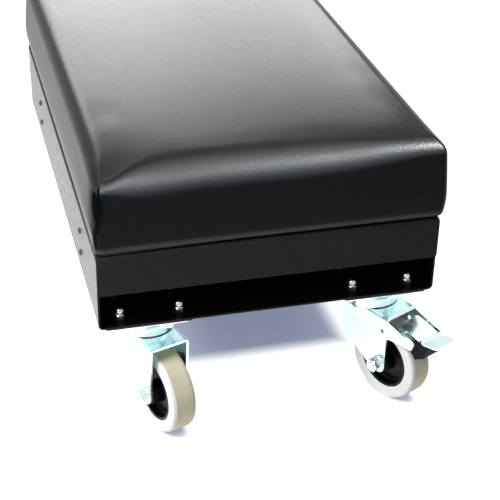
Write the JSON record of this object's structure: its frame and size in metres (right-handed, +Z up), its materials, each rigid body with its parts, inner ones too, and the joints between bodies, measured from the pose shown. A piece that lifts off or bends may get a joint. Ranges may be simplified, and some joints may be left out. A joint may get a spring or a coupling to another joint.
{
  "type": "rolling workshop stool",
  "caption": "Low padded workshop stool: folded sheet-metal tray with open end slots under a leatherette cushion, on swivel castors, two of them with foot brakes.",
  "frame": {"origin": "on the floor below the middle of the seat", "axes": "+Z up, +Y along the seat towards the rear end, +X to the right seen from the front end"},
  "size_m": [0.3609, 0.683, 0.303],
  "materials": {
    "gloss_black_sheet": "gloss black powder coat",
    "matt_grey_sheet": "fine-textured dark grey powder coat",
    "plywood": "plain plywood",
    "leatherette": "black leatherette, satin, fine grain",
    "black_pad": "matt black",
    "zinc_fastener": "bright zinc plate",
    "cap_nut_steel": "polished",
    "black_screw": "black",
    "zinc_sheet": "bright blue zinc plate",
    "bearing_steel": "ground steel",
    "core_plastic": "black moulded plastic",
    "tyre_rubber": "pale grey non-marking rubber",
    "brake_rubber": "black rubber"
  },
  "bodies": {
    "chassis": {"body_shell": "gloss_black_sheet", "deck": "matt_grey_sheet", "cross_wall_front": "gloss_black_sheet", "cross_wall_rear": "gloss_black_sheet", "seat_board": "plywood", "cushion": "leatherette", "castor_pads": "black_pad", "castor_bolts": "zinc_fastener", "castor_nuts": "cap_nut_steel", "wall_screws": "black_screw", "wall_nuts": "zinc_fastener", "seat_screws": "zinc_fastener", "kingpins": "zinc_fastener", "mount_plate_fl": "zinc_sheet", "upper_race_fl": "zinc_sheet", "lower_race_fl": "zinc_sheet", "mount_plate_fr": "zinc_sheet", "upper_race_fr": "zinc_sheet", "lower_race_fr": "zinc_sheet", "mount_plate_rl": "zinc_sheet", "upper_race_rl": "zinc_sheet", "lower_race_rl": "zinc_sheet", "mount_plate_rr": "zinc_sheet", "upper_race_rr": "zinc_sheet", "lower_race_rr": "zinc_sheet"},
    "swivel_fl": {"balls_fl": "bearing_steel", "fork_fl": "zinc_sheet", "axle_bolt_fl": "zinc_fastener", "axle_nut_fl": "zinc_fastener", "axle_bush_fl": "bearing_steel"},
    "wheel_fl": {"wheel_core_fl": "core_plastic", "tyre_fl": "tyre_rubber"},
    "swivel_fr": {"balls_fr": "bearing_steel", "fork_fr": "zinc_sheet", "axle_bolt_fr": "zinc_fastener", "axle_nut_fr": "zinc_fastener", "axle_bush_fr": "bearing_steel", "pedal_pin_fr": "zinc_fastener"},
    "wheel_fr": {"wheel_core_fr": "core_plastic", "tyre_fr": "tyre_rubber"},
    "pedal_fr": {"pedal_fr": "zinc_sheet", "brake_shoe_fr": "brake_rubber"},
    "swivel_rl": {"balls_rl": "bearing_steel", "fork_rl": "zinc_sheet", "axle_bolt_rl": "zinc_fastener", "axle_nut_rl": "zinc_fastener", "axle_bush_rl": "bearing_steel", "pedal_pin_rl": "zinc_fastener"},
    "wheel_rl": {"wheel_core_rl": "core_plastic", "tyre_rl": "tyre_rubber"},
    "pedal_rl": {"pedal_rl": "zinc_sheet", "brake_shoe_rl": "brake_rubber"},
    "swivel_rr": {"balls_rr": "bearing_steel", "fork_rr": "zinc_sheet", "axle_bolt_rr": "zinc_fastener", "axle_nut_rr": "zinc_fastener", "axle_bush_rr": "bearing_steel"},
    "wheel_rr": {"wheel_core_rr": "core_plastic", "tyre_rr": "tyre_rubber"}
  },
  "joints": [
    {"name": "castor_swivel_fl", "type": "hinge", "parent": "chassis", "child": "swivel_fl", "pos_m": [-0.1215, -0.237, 0.1045], "axis": [0, 0, 1], "continuous": true},
    {"name": "wheel_spin_fl", "type": "hinge", "parent": "swivel_fl", "child": "wheel_fl", "pos_m": [-0.11007, -0.27219, 0.044], "axis": [0.9511, 0.309, 0], "continuous": true},
    {"name": "castor_swivel_fr", "type": "hinge", "parent": "chassis", "child": "swivel_fr", "pos_m": [0.1215, -0.237, 0.1045], "axis": [0, 0, 1], "continuous": true},
    {"name": "wheel_spin_fr", "type": "hinge", "parent": "swivel_fr", "child": "wheel_fr", "pos_m": [0.13772, -0.27026, 0.044], "axis": [0.8988, 0.4384, 0], "continuous": true},
    {"name": "brake_pedal_fr", "type": "hinge", "parent": "swivel_fr", "child": "pedal_fr", "pos_m": [0.14868, -0.29273, 0.09], "axis": [0.8988, 0.4384, 0], "range_deg": [0, 8]},
    {"name": "castor_swivel_rl", "type": "hinge", "parent": "chassis", "child": "swivel_rl", "pos_m": [-0.1215, 0.237, 0.1045], "axis": [0, 0, 1], "continuous": true},
    {"name": "wheel_spin_rl", "type": "hinge", "parent": "swivel_rl", "child": "wheel_rl", "pos_m": [-0.10528, 0.27026, 0.044], "axis": [-0.8988, 0.4384, 0], "continuous": true},
    {"name": "brake_pedal_rl", "type": "hinge", "parent": "swivel_rl", "child": "pedal_rl", "pos_m": [-0.09432, 0.29273, 0.09], "axis": [-0.8988, 0.4384, 0], "range_deg": [0, 8]},
    {"name": "castor_swivel_rr", "type": "hinge", "parent": "chassis", "child": "swivel_rr", "pos_m": [0.1215, 0.237, 0.1045], "axis": [0, 0, 1], "continuous": true},
    {"name": "wheel_spin_rr", "type": "hinge", "parent": "swivel_rr", "child": "wheel_rr", "pos_m": [0.11007, 0.27219, 0.044], "axis": [-0.9511, -0.309, 0], "continuous": true}
  ]
}
